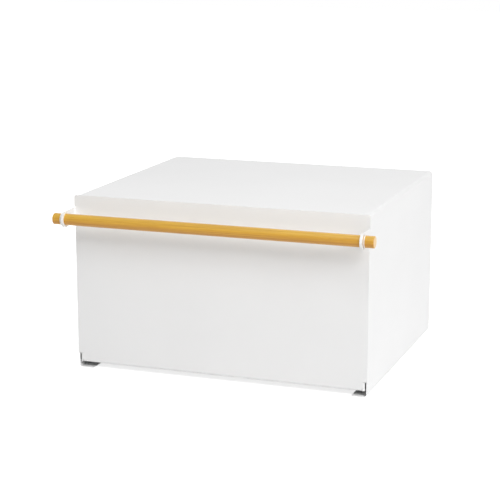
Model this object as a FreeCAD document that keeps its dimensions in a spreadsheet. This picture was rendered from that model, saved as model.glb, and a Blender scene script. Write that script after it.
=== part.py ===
import FreeCAD, Part
import os
import Sketcher

# Counter-top bread box of folded sheet steel: a shell (top, sides and foot flanges in one sheet),
# a back, a raised floor and a front rail with two magnet catches, and a full-height drop-front
# door that turns on two pins near its lower edge and is pulled by a round wooden bar.
# Frame: +Z up, the front faces -Y, the origin at the middle of the footprint on the counter.

os.makedirs("parts", exist_ok=True)
doc = FreeCAD.newDocument("BreadBox")

# ---------------------------------------------------------------- driving sizes, mm
SIZES = {
    # shell
    "shell_width": 398,        # over the outer faces of the two sides
    "box_height": 235,         # counter to the top face
    "box_depth": 340,          # front face of the door to the rear edge of the shell
    "shell_sheet": 0.8,
    "top_bend": 5,             # outer radius of the shell's bends beside its top
    "foot_bend": 3.2,          # and beside its foot flanges
    "foot_flange": 20,         # inward flange along the bottom of each side
    "seam_gap": 0.1,           # all round a panel that is welded into the shell
    # door
    "door_overlap": 1,         # edge of the door beyond the side of the shell
    "door_sheet": 1.2,
    "door_rise": 9,            # lower edge of the door above the counter
    "door_gap": 0.3,           # back of the closed door to the shell's front edges
    "door_corner": 2.6,
    "fold_radius": 1,          # inner radius of the small folds
    "fold_relief": 0.6,        # slit that frees the end of a fold
    "return_depth": 9,         # fold along the door's lower edge
    "return_gap": 2.5,         # end of that fold to the hinge lug
    # hinge
    "notch_width": 3.5,        # lower corner of the door cut away beside the shell's side
    "lug_radius": 5.5,
    "pivot_setback": 6,        # hinge axis behind the door's front face
    "pin_diameter": 4,
    "pin_play": 0.06,          # radial, pin in lug and washer
    "rivet_play": 0.01,        # radial, pin in the shell
    "pin_head": 7.6,
    "pin_head_thick": 1.4,
    "pivot_play": 0.15,        # axial, beside the washer and under the pin's head
    "washer_diameter": 9,
    # handle
    "ear_overhang": 1,         # outer face of an ear beyond the door's edge
    "bar_drop": 26.8,          # bar axis below the box's top
    "bar_reach": 30,           # bar axis ahead of the door's front face
    "bar_diameter": 15,
    "bar_stub": 14,            # bar beyond the outer face of an ear
    "bar_edge": 1,
    "bush_diameter": 21,       # flange of the bush, and the width of the ear
    "bush_flange": 1.8,
    "bush_wall": 0.8,
    "bush_stub": 0.3,          # sleeve end beyond the outer face of the ear
    "ring_gap": 1.1,           # that end to the ring on the bar
    "ring_diameter": 16.8,
    "ring_thick": 1.1,
    "bush_fit": 0.03,          # radial, bar in bush and ring, bush in ear
    # floor
    "floor_height": 23,        # top face above the counter
    "floor_setback": 1,        # front edge behind the shell's front edges
    "floor_skirt": 12,
    "floor_hem": 6,
    "floor_upturn": 8,
    "hinge_room": 20,          # free depth at the front, under the floor, for the hinge
    # back
    "back_inset": 1.5,
    "back_flange": 10,
    # front rail and magnet catches
    "rail_height": 22,
    "rail_flange": 14,
    "catch_inset": 49,         # catch axis from the outer face of the shell's side
    "cup_diameter": 18,
    "cup_flange": 1.2,
    "cup_body": 14,
    "cup_depth": 8,            # behind the rail's web
    "cup_fit": 0.05,           # radial, cup in rail and magnet in cup
    "magnet_diameter": 11,
    "magnet_thick": 5,
    "magnet_recess": 0.3,
    # feet
    "pad_diameter": 12,
    "pad_thick": 1,
    "pad_setback": 30,         # pad axis from the front and rear edges of the shell
}

sheet = doc.addObject("Spreadsheet::Sheet", "Sizes")
for row, (alias, number) in enumerate(SIZES.items(), start=1):
    sheet.set(f"A{row}", alias)
    sheet.set(f"B{row}", str(number))
    sheet.setAlias(f"B{row}", alias)
doc.recompute()


def size(alias):
    """Number held by a cell of the sheet."""
    return float(getattr(sheet, alias))


# ---------------------------------------------------------------- places that several pieces share
# Expressions in the sheet's names; y is counted from the front face of the door, z from the counter.
DOOR_WIDTH = "(Sizes.shell_width + 2 * Sizes.door_overlap)"
DOOR_HALF = "(Sizes.shell_width / 2 + Sizes.door_overlap)"
BAR_HEIGHT = "(Sizes.box_height - Sizes.bar_drop)"
FRAME_SHIFT = "-(Sizes.box_depth - Sizes.bar_reach - Sizes.bush_diameter / 2) / 2"
SHELL_FRONT = "(Sizes.door_sheet + Sizes.door_gap)"
INNER_HALF = "(Sizes.shell_width / 2 - Sizes.shell_sheet)"
PANEL_HALF = f"({INNER_HALF} - Sizes.seam_gap)"
INNER_TOP = "(Sizes.box_height - Sizes.shell_sheet)"
FLANGE_TOP = "(Sizes.pad_thick + Sizes.shell_sheet)"
TOP_BEND_INSIDE = "(Sizes.top_bend - Sizes.shell_sheet)"
FOOT_BEND_INSIDE = "(Sizes.foot_bend - Sizes.shell_sheet)"
THIN_FOLD = "(Sizes.fold_radius + Sizes.shell_sheet)"
DOOR_FOLD = "(Sizes.fold_radius + Sizes.door_sheet)"
PIVOT_HEIGHT = "(Sizes.door_rise + Sizes.lug_radius)"
LUG_OUTER = f"({DOOR_HALF} - Sizes.notch_width)"
LUG_INNER = f"({LUG_OUTER} - Sizes.door_sheet)"
EAR_OUTER = f"({DOOR_HALF} + Sizes.ear_overhang)"
EAR_INNER = f"({EAR_OUTER} - Sizes.door_sheet)"
EAR_TOP = f"({BAR_HEIGHT} + Sizes.bush_diameter / 2)"
EAR_BOTTOM = f"({BAR_HEIGHT} - Sizes.bush_diameter / 2)"
NECK_DIAMETER = "(Sizes.bar_diameter + 2 * (Sizes.bush_fit + Sizes.bush_wall))"
WEB_FRONT = f"({SHELL_FRONT} + Sizes.cup_flange)"
CATCH_ACROSS = "(Sizes.shell_width / 2 - Sizes.catch_inset)"
CATCH_HEIGHT = f"({INNER_TOP} - Sizes.rail_height / 2)"
BACK_INNER = "(Sizes.box_depth - Sizes.back_inset - Sizes.shell_sheet)"


# ---------------------------------------------------------------- modelling helpers
def new_body(label):
    """One sub-part: its label names its STEP file."""
    body = doc.addObject("PartDesign::Body", label)
    body.Label = label
    body.setExpression("Placement.Base.y", FRAME_SHIFT)
    return body


def new_sketch(body, name, plane, u, v, start):
    """Empty sketch on an origin plane of the body, moved to (u, v) in it and to start along the axis."""
    sketch = body.newObject("Sketcher::SketchObject", name + "_sketch")
    support = next(f for f in body.Origin.OriginFeatures if f.Role == plane + "_Plane")
    sketch.AttachmentSupport = [(support, "")]
    sketch.MapMode = "FlatFace"
    along_normal = f"-({start})" if plane == "XZ" else start    # the XZ plane's normal is -Y
    for axis, place in zip("xyz", (u, v, along_normal)):
        sketch.setExpression(f"AttachmentOffset.Base.{axis}", place)
    return sketch


def set_length(sketch, constraint, name, expression):
    """Adds a dimension and binds it to the sheet."""
    index = sketch.addConstraint(constraint)
    sketch.renameConstraint(index, name)
    sketch.setExpression("Constraints." + name, expression)


def extrude(body, name, kind, plane, sketch, length):
    """Pad or Pocket that runs from its sketch towards +X, +Y or +Z."""
    feature = body.newObject("PartDesign::" + kind, name)
    feature.Profile = sketch
    feature.Reversed = (plane == "XZ") == (kind == "Pad")
    feature.setExpression("Length", length)
    sketch.Visibility = False
    doc.recompute()
    return feature


def box(body, name, kind, plane, centre, extent, start, length):
    """Pad or Pocket of a rectangle with its middle at centre."""
    sketch = new_sketch(body, name, plane, centre[0], centre[1], start)
    corners = [FreeCAD.Vector(x, y, 0) for x, y in ((-5, -4), (5, -4), (5, 4), (-5, 4))]
    for first, second in zip(corners, corners[1:] + corners[:1]):
        sketch.addGeometry(Part.LineSegment(first, second), False)
    for side in range(4):
        sketch.addConstraint(Sketcher.Constraint("Coincident", side, 2, (side + 1) % 4, 1))
        sketch.addConstraint(Sketcher.Constraint("Vertical" if side % 2 else "Horizontal", side))
    sketch.addConstraint(Sketcher.Constraint("Symmetric", 0, 1, 2, 1, -1, 1))
    set_length(sketch, Sketcher.Constraint("DistanceX", 0, 1, 0, 2, 10), "wide", extent[0])
    set_length(sketch, Sketcher.Constraint("DistanceY", 1, 1, 1, 2, 8), "high", extent[1])
    return extrude(body, name, kind, plane, sketch, length)


def disc(body, name, kind, plane, centre, diameter, start, length):
    """Pad or Pocket of a circle."""
    sketch = new_sketch(body, name, plane, centre[0], centre[1], start)
    sketch.addGeometry(Part.Circle(FreeCAD.Vector(0, 0, 0), FreeCAD.Vector(0, 0, 1), 5), False)
    sketch.addConstraint(Sketcher.Constraint("Coincident", 0, 3, -1, 1))
    set_length(sketch, Sketcher.Constraint("Diameter", 0, 10), "across", diameter)
    return extrude(body, name, kind, plane, sketch, length)


def mirror(body, name, features):
    """Repeats features on the other side of the middle plane."""
    copy = body.newObject("PartDesign::Mirrored", name)
    copy.Originals = features
    middle = next(f for f in body.Origin.OriginFeatures if f.Role == "YZ_Plane")
    copy.MirrorPlane = (middle, [""])
    body.Tip = copy
    doc.recompute()
    return copy


def straight_edges(feature, axis, test):
    """Names of the straight edges along an axis whose middle point passes the test."""
    names = []
    for number, edge in enumerate(feature.Shape.Edges, start=1):
        if edge.Curve.TypeId != "Part::GeomLine":
            continue
        along = edge.Curve.Direction
        if abs(abs(getattr(along, axis)) - 1) < 1e-6 and test(edge.CenterOfMass):
            names.append(f"Edge{number}")
    return names


def round_edges(feature, axis, test):
    """Names of the circular edges about an axis whose centre passes the test."""
    names = []
    for number, edge in enumerate(feature.Shape.Edges, start=1):
        if edge.Curve.TypeId != "Part::GeomCircle":
            continue
        if abs(abs(getattr(edge.Curve.Axis, axis)) - 1) < 1e-6 and test(edge):
            names.append(f"Edge{number}")
    return names


def flat_faces(feature, normals):
    """Names of the outermost flat faces that look along the given directions."""
    names = []
    shape = feature.Shape
    for normal in normals:
        def reach(face):
            return face.CenterOfMass.dot(normal)
        facing = [f for f in shape.Faces if f.Surface.TypeId == "Part::GeomPlane"
                  and f.normalAt(0, 0).dot(normal) > 0.999]
        outermost = max(facing, key=reach)
        names += [f"Face{n}" for n, f in enumerate(shape.Faces, start=1) if f.isSame(outermost)]
    return names


def fillet(body, name, base, edges, radius):
    """Fillet of chosen edges, its radius bound to the sheet."""
    feature = body.newObject("PartDesign::Fillet", name)
    feature.Base = (base, edges)
    feature.setExpression("Radius", radius)
    doc.recompute()
    return feature


def chamfer(body, name, base, edges, leg):
    """Chamfer of chosen edges, its leg bound to the sheet."""
    feature = body.newObject("PartDesign::Chamfer", name)
    feature.Base = (base, edges)
    feature.setExpression("Size", leg)
    doc.recompute()
    return feature


def hollow(body, name, base, faces, wall):
    """Leaves a sheet inside the outer faces of a block and opens the chosen faces."""
    feature = body.newObject("PartDesign::Thickness", name)
    feature.Base = (base, faces)
    feature.Reversed = True
    feature.setExpression("Value", wall)
    doc.recompute()
    return feature


X, Y, Z = "x", "y", "z"
TO_FRONT = FreeCAD.Vector(0, -1, 0)
TO_BACK = FreeCAD.Vector(0, 1, 0)
TO_RIGHT = FreeCAD.Vector(1, 0, 0)
TO_LEFT = FreeCAD.Vector(-1, 0, 0)
DOWN = FreeCAD.Vector(0, 0, -1)


def near(first, second):
    return abs(first - second) < 1e-4


def sideways(side, near_face, thick):
    """Start along X of something thick that begins near_face away from the middle, on one side."""
    return near_face if side > 0 else f"-({near_face} + {thick})"


# ---------------------------------------------------------------- shell, back and floor
def make_body_shell():
    body = new_body("body_shell")
    length = f"(Sizes.box_depth - {SHELL_FRONT})"
    block = box(body, "block", "Pad", "XZ", ("0", "(Sizes.box_height + Sizes.pad_thick) / 2"),
                ("Sizes.shell_width", "Sizes.box_height - Sizes.pad_thick"), SHELL_FRONT, length)
    highest, lowest = block.Shape.BoundBox.ZMax, block.Shape.BoundBox.ZMin
    upper = fillet(body, "top_bends", block, straight_edges(block, Y, lambda p: near(p.z, highest)),
                   "Sizes.top_bend")
    bends = fillet(body, "foot_bends", upper, straight_edges(upper, Y, lambda p: near(p.z, lowest)),
                   "Sizes.foot_bend")
    hollow(body, "sheet_wall", bends, flat_faces(bends, (TO_FRONT, TO_BACK)), "Sizes.shell_sheet")
    box(body, "open_bottom", "Pocket", "XY", ("0", "Sizes.box_depth / 2"),
        ("Sizes.shell_width - 2 * Sizes.foot_flange", "Sizes.box_depth + 2"),
        "0", f"{FLANGE_TOP} + Sizes.foot_bend")
    disc(body, "pin_holes", "Pocket", "YZ", ("Sizes.pivot_setback", PIVOT_HEIGHT),
         "Sizes.pin_diameter + 2 * Sizes.rivet_play", "-Sizes.shell_width / 2 - 1",
         "Sizes.shell_width + 2")


def make_back_panel():
    body = new_body("back_panel")
    bottom = f"({FLANGE_TOP} + Sizes.seam_gap)"
    top = f"({INNER_TOP} - Sizes.seam_gap)"
    block = box(body, "block", "Pad", "XZ", ("0", f"({bottom} + {top}) / 2"),
                (f"2 * {PANEL_HALF}", f"{top} - {bottom}"),
                "Sizes.box_depth - Sizes.back_inset - Sizes.back_flange", "Sizes.back_flange")
    highest, lowest = block.Shape.BoundBox.ZMax, block.Shape.BoundBox.ZMin
    upper = fillet(body, "upper_corners", block, straight_edges(block, Y, lambda p: near(p.z, highest)),
                   f"{TOP_BEND_INSIDE} - Sizes.seam_gap")
    corners = fillet(body, "lower_corners", upper, straight_edges(upper, Y, lambda p: near(p.z, lowest)),
                     f"{FOOT_BEND_INSIDE} - Sizes.seam_gap")
    rear = corners.Shape.BoundBox.YMax
    around = [f"Edge{n}" for n, edge in enumerate(corners.Shape.Edges, start=1)
              if near(edge.BoundBox.YMin, rear)]
    folds = fillet(body, "folds", corners, around, THIN_FOLD)
    hollow(body, "sheet_wall", folds, flat_faces(folds, (TO_FRONT,)), "Sizes.shell_sheet")


def make_floor_panel():
    body = new_body("floor_panel")
    front = f"({SHELL_FRONT} + Sizes.floor_setback)"
    back = f"({BACK_INNER} - Sizes.seam_gap)"
    middle = f"({front} + {back}) / 2"
    block = box(body, "block", "Pad", "XY", ("0", middle), (f"2 * {PANEL_HALF}", f"{back} - {front}"),
                "Sizes.floor_height - Sizes.floor_skirt", "Sizes.floor_skirt")
    top = block.Shape.BoundBox.ZMax
    bends = fillet(body, "bends", block, straight_edges(block, Y, lambda p: near(p.z, top)), THIN_FOLD)
    hollow(body, "sheet_wall", bends, flat_faces(bends, (DOWN, TO_FRONT, TO_BACK)), "Sizes.shell_sheet")
    # the skirts start behind the hinge, and the rear corners clear the flanges of the back
    skirt_cut = f"({SHELL_FRONT} + Sizes.hinge_room)"
    box(body, "hinge_cut", "Pocket", "XY", ("0", f"{skirt_cut} / 2"),
        (f"2 * {PANEL_HALF} + 2", skirt_cut), "Sizes.floor_height - Sizes.floor_skirt - 1",
        f"Sizes.floor_skirt + 1 - {THIN_FOLD}")
    corner_half = f"({PANEL_HALF} - {THIN_FOLD} - Sizes.seam_gap)"
    corner_start = "(Sizes.box_depth - Sizes.back_inset - Sizes.back_flange - Sizes.seam_gap)"
    cut = box(body, "rear_corner", "Pocket", "XY",
              (f"{corner_half} + 2.5", f"{corner_start} + (Sizes.back_flange + 2) / 2"),
              ("5", "Sizes.back_flange + 2"), "Sizes.floor_height - Sizes.floor_skirt - 1",
              "Sizes.floor_skirt + 2")
    mirror(body, "rear_corners", [cut])
    box(body, "upturn", "Pad", "XZ",
        ("0", "Sizes.floor_height + (Sizes.floor_upturn - Sizes.shell_sheet) / 2"),
        (f"2 * {corner_half}", "Sizes.floor_upturn + Sizes.shell_sheet"),
        f"{back} - Sizes.shell_sheet", "Sizes.shell_sheet")
    hem_half = f"({PANEL_HALF} - {THIN_FOLD})"
    hem = box(body, "hem", "Pad", "XY", ("0", f"{front} + Sizes.floor_hem / 2"),
              (f"2 * {hem_half}", "Sizes.floor_hem"), "Sizes.floor_height - 2 * Sizes.shell_sheet",
              "Sizes.shell_sheet")
    rear, level = hem.Shape.BoundBox.YMax, size("floor_height")
    inner = straight_edges(hem, X, lambda p: near(p.y, rear - size("shell_sheet")) and near(p.z, level))
    bent = fillet(body, "upturn_inside", hem, inner, "Sizes.fold_radius")
    outer = straight_edges(bent, X, lambda p: near(p.y, rear) and near(p.z, level - size("shell_sheet")))
    bent = fillet(body, "upturn_outside", bent, outer, THIN_FOLD)
    nose = bent.Shape.BoundBox.YMin
    hem_edge = straight_edges(bent, X, lambda p: near(p.y, nose) and p.z < level - size("shell_sheet"))
    fillet(body, "hem_edge", bent, hem_edge, "Sizes.shell_sheet * 0.75")


make_body_shell()
make_back_panel()
make_floor_panel()


# ---------------------------------------------------------------- front rail with its magnet catches
def make_front_rail():
    body = new_body("front_rail")
    half = f"({INNER_HALF} - {TOP_BEND_INSIDE})"
    block = box(body, "block", "Pad", "XZ", ("0", CATCH_HEIGHT), (f"2 * {half}", "Sizes.rail_height"),
                WEB_FRONT, "Sizes.rail_flange")
    nose = block.Shape.BoundBox.YMin
    bends = fillet(body, "bends", block, straight_edges(block, X, lambda p: near(p.y, nose)), THIN_FOLD)
    hollow(body, "sheet_wall", bends, flat_faces(bends, (TO_BACK, TO_RIGHT, TO_LEFT)), "Sizes.shell_sheet")
    hole = disc(body, "catch_hole", "Pocket", "XZ", (CATCH_ACROSS, CATCH_HEIGHT),
                "Sizes.cup_body + 2 * Sizes.cup_fit", f"{WEB_FRONT} - 1", "Sizes.shell_sheet + 2")
    mirror(body, "catch_holes", [hole])


def make_catch(side, word):
    place = (f"{side} * {CATCH_ACROSS}", CATCH_HEIGHT)
    body = new_body("catch_cup_" + word)
    disc(body, "rim", "Pad", "XZ", place, "Sizes.cup_diameter", SHELL_FRONT, "Sizes.cup_flange")
    disc(body, "barrel", "Pad", "XZ", place, "Sizes.cup_body", WEB_FRONT, "Sizes.cup_depth")
    disc(body, "magnet_seat", "Pocket", "XZ", place, "Sizes.magnet_diameter + 2 * Sizes.cup_fit",
         f"{SHELL_FRONT} - 1", "1 + Sizes.magnet_recess + Sizes.magnet_thick")
    body = new_body("catch_magnet_" + word)
    disc(body, "disc", "Pad", "XZ", place, "Sizes.magnet_diameter",
         f"{SHELL_FRONT} + Sizes.magnet_recess", "Sizes.magnet_thick")


make_front_rail()
for side, word in ((-1, "left"), (1, "right")):
    make_catch(side, word)


# ---------------------------------------------------------------- door, folded from one sheet
def make_door_panel():
    body = new_body("door_panel")
    box(body, "panel", "Pad", "XZ", ("0", "(Sizes.box_height + Sizes.door_rise) / 2"),
        (DOOR_WIDTH, "Sizes.box_height - Sizes.door_rise"), "0", "Sizes.door_sheet")
    band_bottom = f"({EAR_TOP} + Sizes.fold_relief)"
    band = box(body, "band", "Pad", "XZ", ("0", f"(Sizes.box_height + {band_bottom}) / 2"),
               (f"2 * {EAR_OUTER}", f"Sizes.box_height - {band_bottom}"), "0", "Sizes.door_sheet")
    half, top = size("shell_width") / 2 + size("door_overlap"), size("box_height")
    outside = half + size("ear_overhang")
    fillet(body, "top_corners", band, straight_edges(
        band, Y, lambda p: near(abs(p.x), outside) and near(p.z, top)), "Sizes.door_corner")

    # ears that carry the bar, with a slit above and below each fold
    bar_place = ("-Sizes.bar_reach", BAR_HEIGHT)
    ear = box(body, "ear", "Pad", "YZ", ("(Sizes.door_sheet - Sizes.bar_reach) / 2", BAR_HEIGHT),
              ("Sizes.door_sheet + Sizes.bar_reach", "Sizes.bush_diameter"), EAR_INNER, "Sizes.door_sheet")
    ear_end = disc(body, "ear_end", "Pad", "YZ", bar_place, "Sizes.bush_diameter", EAR_INNER,
                   "Sizes.door_sheet")
    slit_width = f"({DOOR_FOLD} + Sizes.fold_radius)"
    slits = [box(body, name, "Pocket", "XZ", (f"{EAR_OUTER} - {slit_width} / 2 + 0.5", middle),
                 (f"{slit_width} + 1", "Sizes.fold_relief"), "-1", "Sizes.door_sheet + 2")
             for name, middle in (("slit_above", f"{EAR_TOP} + Sizes.fold_relief / 2"),
                                  ("slit_below", f"{EAR_BOTTOM} - Sizes.fold_relief / 2"))]
    bore = disc(body, "ear_bore", "Pocket", "YZ", bar_place, f"{NECK_DIAMETER} + 2 * Sizes.bush_fit",
                f"{EAR_INNER} - 1", "Sizes.door_sheet + 2")

    # lower corners cut away beside the shell's sides, with a hinge lug folded back at each cut
    lug_height = "(2 * Sizes.lug_radius)"
    notch_height = f"({lug_height} + Sizes.fold_relief)"
    notch = box(body, "notch", "Pocket", "XZ",
                (f"{LUG_OUTER} + (Sizes.notch_width + 1) / 2", f"Sizes.door_rise + ({notch_height} - 1) / 2"),
                ("Sizes.notch_width + 1", f"{notch_height} + 1"), "-1", "Sizes.door_sheet + 2")
    lug_slit = box(body, "lug_slit", "Pocket", "XZ",
                   (f"{LUG_OUTER} - {slit_width} / 2",
                    f"Sizes.door_rise + {lug_height} + Sizes.fold_relief / 2"),
                   (slit_width, "Sizes.fold_relief"), "-1", "Sizes.door_sheet + 2")
    pivot = ("Sizes.pivot_setback", PIVOT_HEIGHT)
    lug = box(body, "lug", "Pad", "YZ", ("Sizes.pivot_setback / 2", PIVOT_HEIGHT),
              ("Sizes.pivot_setback", lug_height), LUG_INNER, "Sizes.door_sheet")
    lug_end = disc(body, "lug_end", "Pad", "YZ", pivot, lug_height, LUG_INNER, "Sizes.door_sheet")
    lug_bore = disc(body, "lug_bore", "Pocket", "YZ", pivot, "Sizes.pin_diameter + 2 * Sizes.pin_play",
                    f"{LUG_INNER} - 1", "Sizes.door_sheet + 2")
    return_half = f"({LUG_INNER} - Sizes.return_gap)"
    return_slit = box(body, "return_slit", "Pocket", "XZ",
                      (f"{return_half} + Sizes.fold_relief / 2", f"Sizes.door_rise + ({slit_width} - 1) / 2"),
                      ("Sizes.fold_relief", f"{slit_width} + 1"), "-1", "Sizes.door_sheet + 2")
    mirror(body, "both_sides", [ear, ear_end] + slits + [bore, notch, lug_slit, lug, lug_end, lug_bore,
                                                         return_slit])
    door = box(body, "bottom_return", "Pad", "XY", ("0", "Sizes.return_depth / 2"),
               (f"2 * {return_half}", "Sizes.return_depth"), "Sizes.door_rise", "Sizes.door_sheet")

    # inner and outer bend of each fold
    wall, rise = size("door_sheet"), size("door_rise")
    ear_inner = outside - wall
    lug_outer = half - size("notch_width")
    ear_low = top - size("bar_drop") - size("bush_diameter") / 2
    lug_high = rise + 2 * size("lug_radius")

    def inside_folds(shape):
        return (straight_edges(shape, Z, lambda p: near(abs(p.x), ear_inner) and near(p.y, 0)
                               and p.z > ear_low)
                + straight_edges(shape, Z, lambda p: near(abs(p.x), lug_outer - wall) and near(p.y, wall)
                                 and p.z < lug_high)
                + straight_edges(shape, X, lambda p: near(p.y, wall) and near(p.z, rise + wall)))

    def outside_folds(shape):
        return (straight_edges(shape, Z, lambda p: near(abs(p.x), outside) and near(p.y, wall)
                               and ear_low < p.z < ear_low + size("bush_diameter"))
                + straight_edges(shape, Z, lambda p: near(abs(p.x), lug_outer) and near(p.y, 0)
                                 and p.z < lug_high)
                + straight_edges(shape, X, lambda p: near(p.y, 0) and near(p.z, rise) and abs(p.x) < 1))

    door = fillet(body, "inside_folds", door, inside_folds(door), "Sizes.fold_radius")
    fillet(body, "outside_folds", door, outside_folds(door), DOOR_FOLD)


# ---------------------------------------------------------------- hinge pins and washers
def make_pivot(side, word):
    pivot = ("Sizes.pivot_setback", PIVOT_HEIGHT)
    body = new_body("pivot_pin_" + word)
    shank_start = f"({LUG_INNER} - Sizes.pivot_play)"
    shank = f"(Sizes.shell_width / 2 - {shank_start})"
    disc(body, "shank", "Pad", "YZ", pivot, "Sizes.pin_diameter", sideways(side, shank_start, shank), shank)
    head_start = f"({shank_start} - Sizes.pin_head_thick)"
    disc(body, "head", "Pad", "YZ", pivot, "Sizes.pin_head",
         sideways(side, head_start, "Sizes.pin_head_thick"), "Sizes.pin_head_thick")
    body = new_body("pivot_washer_" + word)
    start = f"({LUG_OUTER} + Sizes.pivot_play)"
    thick = f"({INNER_HALF} - Sizes.pivot_play - {start})"
    disc(body, "disc", "Pad", "YZ", pivot, "Sizes.washer_diameter", sideways(side, start, thick), thick)
    disc(body, "bore", "Pocket", "YZ", pivot, "Sizes.pin_diameter + 2 * Sizes.pin_play",
         sideways(side, f"({start} - 1)", f"({thick} + 2)"), f"{thick} + 2")


make_door_panel()
for side, word in ((-1, "left"), (1, "right")):
    make_pivot(side, word)


# ---------------------------------------------------------------- handle bar in its two bushes
def make_handle_bar():
    body = new_body("handle_bar")
    half = f"({EAR_OUTER} + Sizes.bar_stub)"
    bar = disc(body, "dowel", "Pad", "YZ", ("-Sizes.bar_reach", BAR_HEIGHT),
               "Sizes.bar_diameter", f"-{half}", f"2 * {half}")
    chamfer(body, "soft_ends", bar, round_edges(bar, X, lambda e: True), "Sizes.bar_edge")


def make_bush(side, word):
    bar_place = ("-Sizes.bar_reach", BAR_HEIGHT)
    body = new_body("handle_bush_" + word)
    flange_start = f"({EAR_INNER} - Sizes.bush_flange)"
    sleeve = "(Sizes.bush_flange + Sizes.door_sheet + Sizes.bush_stub)"
    disc(body, "sleeve", "Pad", "YZ", bar_place, NECK_DIAMETER, sideways(side, flange_start, sleeve), sleeve)
    disc(body, "flange", "Pad", "YZ", bar_place, "Sizes.bush_diameter",
         sideways(side, flange_start, "Sizes.bush_flange"), "Sizes.bush_flange")
    disc(body, "bore", "Pocket", "YZ", bar_place, "Sizes.bar_diameter + 2 * Sizes.bush_fit",
         sideways(side, f"({flange_start} - 1)", f"({sleeve} + 2)"), f"{sleeve} + 2")
    body = new_body("bush_ring_" + word)
    ring_start = f"({EAR_OUTER} + Sizes.bush_stub + Sizes.ring_gap)"
    disc(body, "disc", "Pad", "YZ", bar_place, "Sizes.ring_diameter",
         sideways(side, ring_start, "Sizes.ring_thick"), "Sizes.ring_thick")
    disc(body, "bore", "Pocket", "YZ", bar_place, "Sizes.bar_diameter + 2 * Sizes.bush_fit",
         sideways(side, f"({ring_start} - 1)", "(Sizes.ring_thick + 2)"), "Sizes.ring_thick + 2")


make_handle_bar()
for side, word in ((-1, "left"), (1, "right")):
    make_bush(side, word)


# ---------------------------------------------------------------- non-slip pads under the flanges
def make_foot_pad(side, word, row, place):
    body = new_body(f"foot_pad_{row}_{word}")
    across = f"{side} * (Sizes.shell_width / 2 - Sizes.foot_flange / 2)"
    disc(body, "pad", "Pad", "XY", (across, place), "Sizes.pad_diameter", "0", "Sizes.pad_thick")


for side, word in ((-1, "left"), (1, "right")):
    make_foot_pad(side, word, "front", f"{SHELL_FRONT} + Sizes.pad_setback")
    make_foot_pad(side, word, "rear", "Sizes.box_depth - Sizes.pad_setback")


# ---------------------------------------------------------------- check and export
doc.recompute()
for item in doc.Objects:
    if "Invalid" in item.State or "Error" in item.State:
        raise RuntimeError(f"{item.Name} failed: {item.State}")
    if item.TypeId == "PartDesign::Pocket" and item.Shape.Volume >= item.BaseFeature.Shape.Volume - 1e-6:
        raise RuntimeError(f"{item.Name} cuts nothing")

bodies = [item for item in doc.Objects if item.TypeId == "PartDesign::Body"]
for body in bodies:
    shape = body.Shape
    if shape.isNull() or not shape.isValid() or len(shape.Solids) != 1:
        raise RuntimeError(f"{body.Label} is not one valid solid")
    shape.exportStep(f"parts/{body.Label}.step")
    box_size = shape.optimalBoundingBox()
    print(f"{body.Label:22s} {shape.Volume:10.1f} mm3  x {box_size.XMin:8.2f} {box_size.XMax:8.2f}"
          f"  y {box_size.YMin:8.2f} {box_size.YMax:8.2f}  z {box_size.ZMin:7.2f} {box_size.ZMax:7.2f}")
print(len(bodies), "sub-parts written")
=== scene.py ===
# %% [markdown]
# # A bread box with a drop-front door
#
# The box is folded from white powder-coated steel sheet. Its whole front is a door that turns on
# two pins near the counter, and a round wooden bar across the door is the handle.
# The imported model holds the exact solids, the joint and the names. This lesson puts the visible
# pieces in their places: sheet metal with coated, rounded edges, a lacquered dowel, nylon bushes
# and the small hardware. Everything is in metres, with +Z up and the front facing -Y.

import math

import bmesh
import bpy
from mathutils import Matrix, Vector


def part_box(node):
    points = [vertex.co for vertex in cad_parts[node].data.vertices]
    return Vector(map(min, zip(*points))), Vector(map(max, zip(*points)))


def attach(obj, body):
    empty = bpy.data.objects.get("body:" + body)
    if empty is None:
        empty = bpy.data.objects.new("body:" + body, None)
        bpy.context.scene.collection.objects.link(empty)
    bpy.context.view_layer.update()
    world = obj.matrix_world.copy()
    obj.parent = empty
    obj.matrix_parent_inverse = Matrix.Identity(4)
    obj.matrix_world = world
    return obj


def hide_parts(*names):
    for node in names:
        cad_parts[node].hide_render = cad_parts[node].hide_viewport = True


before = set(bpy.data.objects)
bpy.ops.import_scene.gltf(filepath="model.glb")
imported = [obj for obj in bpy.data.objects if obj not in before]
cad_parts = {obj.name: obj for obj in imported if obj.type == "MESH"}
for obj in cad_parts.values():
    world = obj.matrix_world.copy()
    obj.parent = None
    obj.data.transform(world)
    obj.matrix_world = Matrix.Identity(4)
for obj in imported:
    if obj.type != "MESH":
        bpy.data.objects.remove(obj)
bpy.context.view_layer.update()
MM = 0.001
FRONT, BACK, LEFT, RIGHT, UP, DOWN = (Vector(way) for way in (
    (0, -1, 0), (0, 1, 0), (-1, 0, 0), (1, 0, 0), (0, 0, 1), (0, 0, -1)))

# %% [markdown]
# ## Camera
#
# A product picture of a box is taken from a little above and from one side, with a long lens,
# so that the front, the top and one side all show and their edges stay nearly parallel.
# The camera is placed by its azimuth, its elevation and its distance, and then moved across
# its own picture plane until the box sits where it should in the square frame.

# %% Camera
AZIMUTH, ELEVATION = math.radians(19.756), math.radians(12.606)
DISTANCE, ACROSS, ABOVE = 2.1383, -0.00936, 0.14118      # metres
FOCAL_PIXELS, FRAME_PIXELS = 1540.4, 500
SENSOR = 36.0                # millimetres

to_camera = Vector((math.sin(AZIMUTH) * math.cos(ELEVATION),
                    -math.cos(AZIMUTH) * math.cos(ELEVATION), math.sin(ELEVATION)))
camera_right = Vector((math.cos(AZIMUTH), math.sin(AZIMUTH), 0))
camera_up = to_camera.cross(camera_right)

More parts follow.
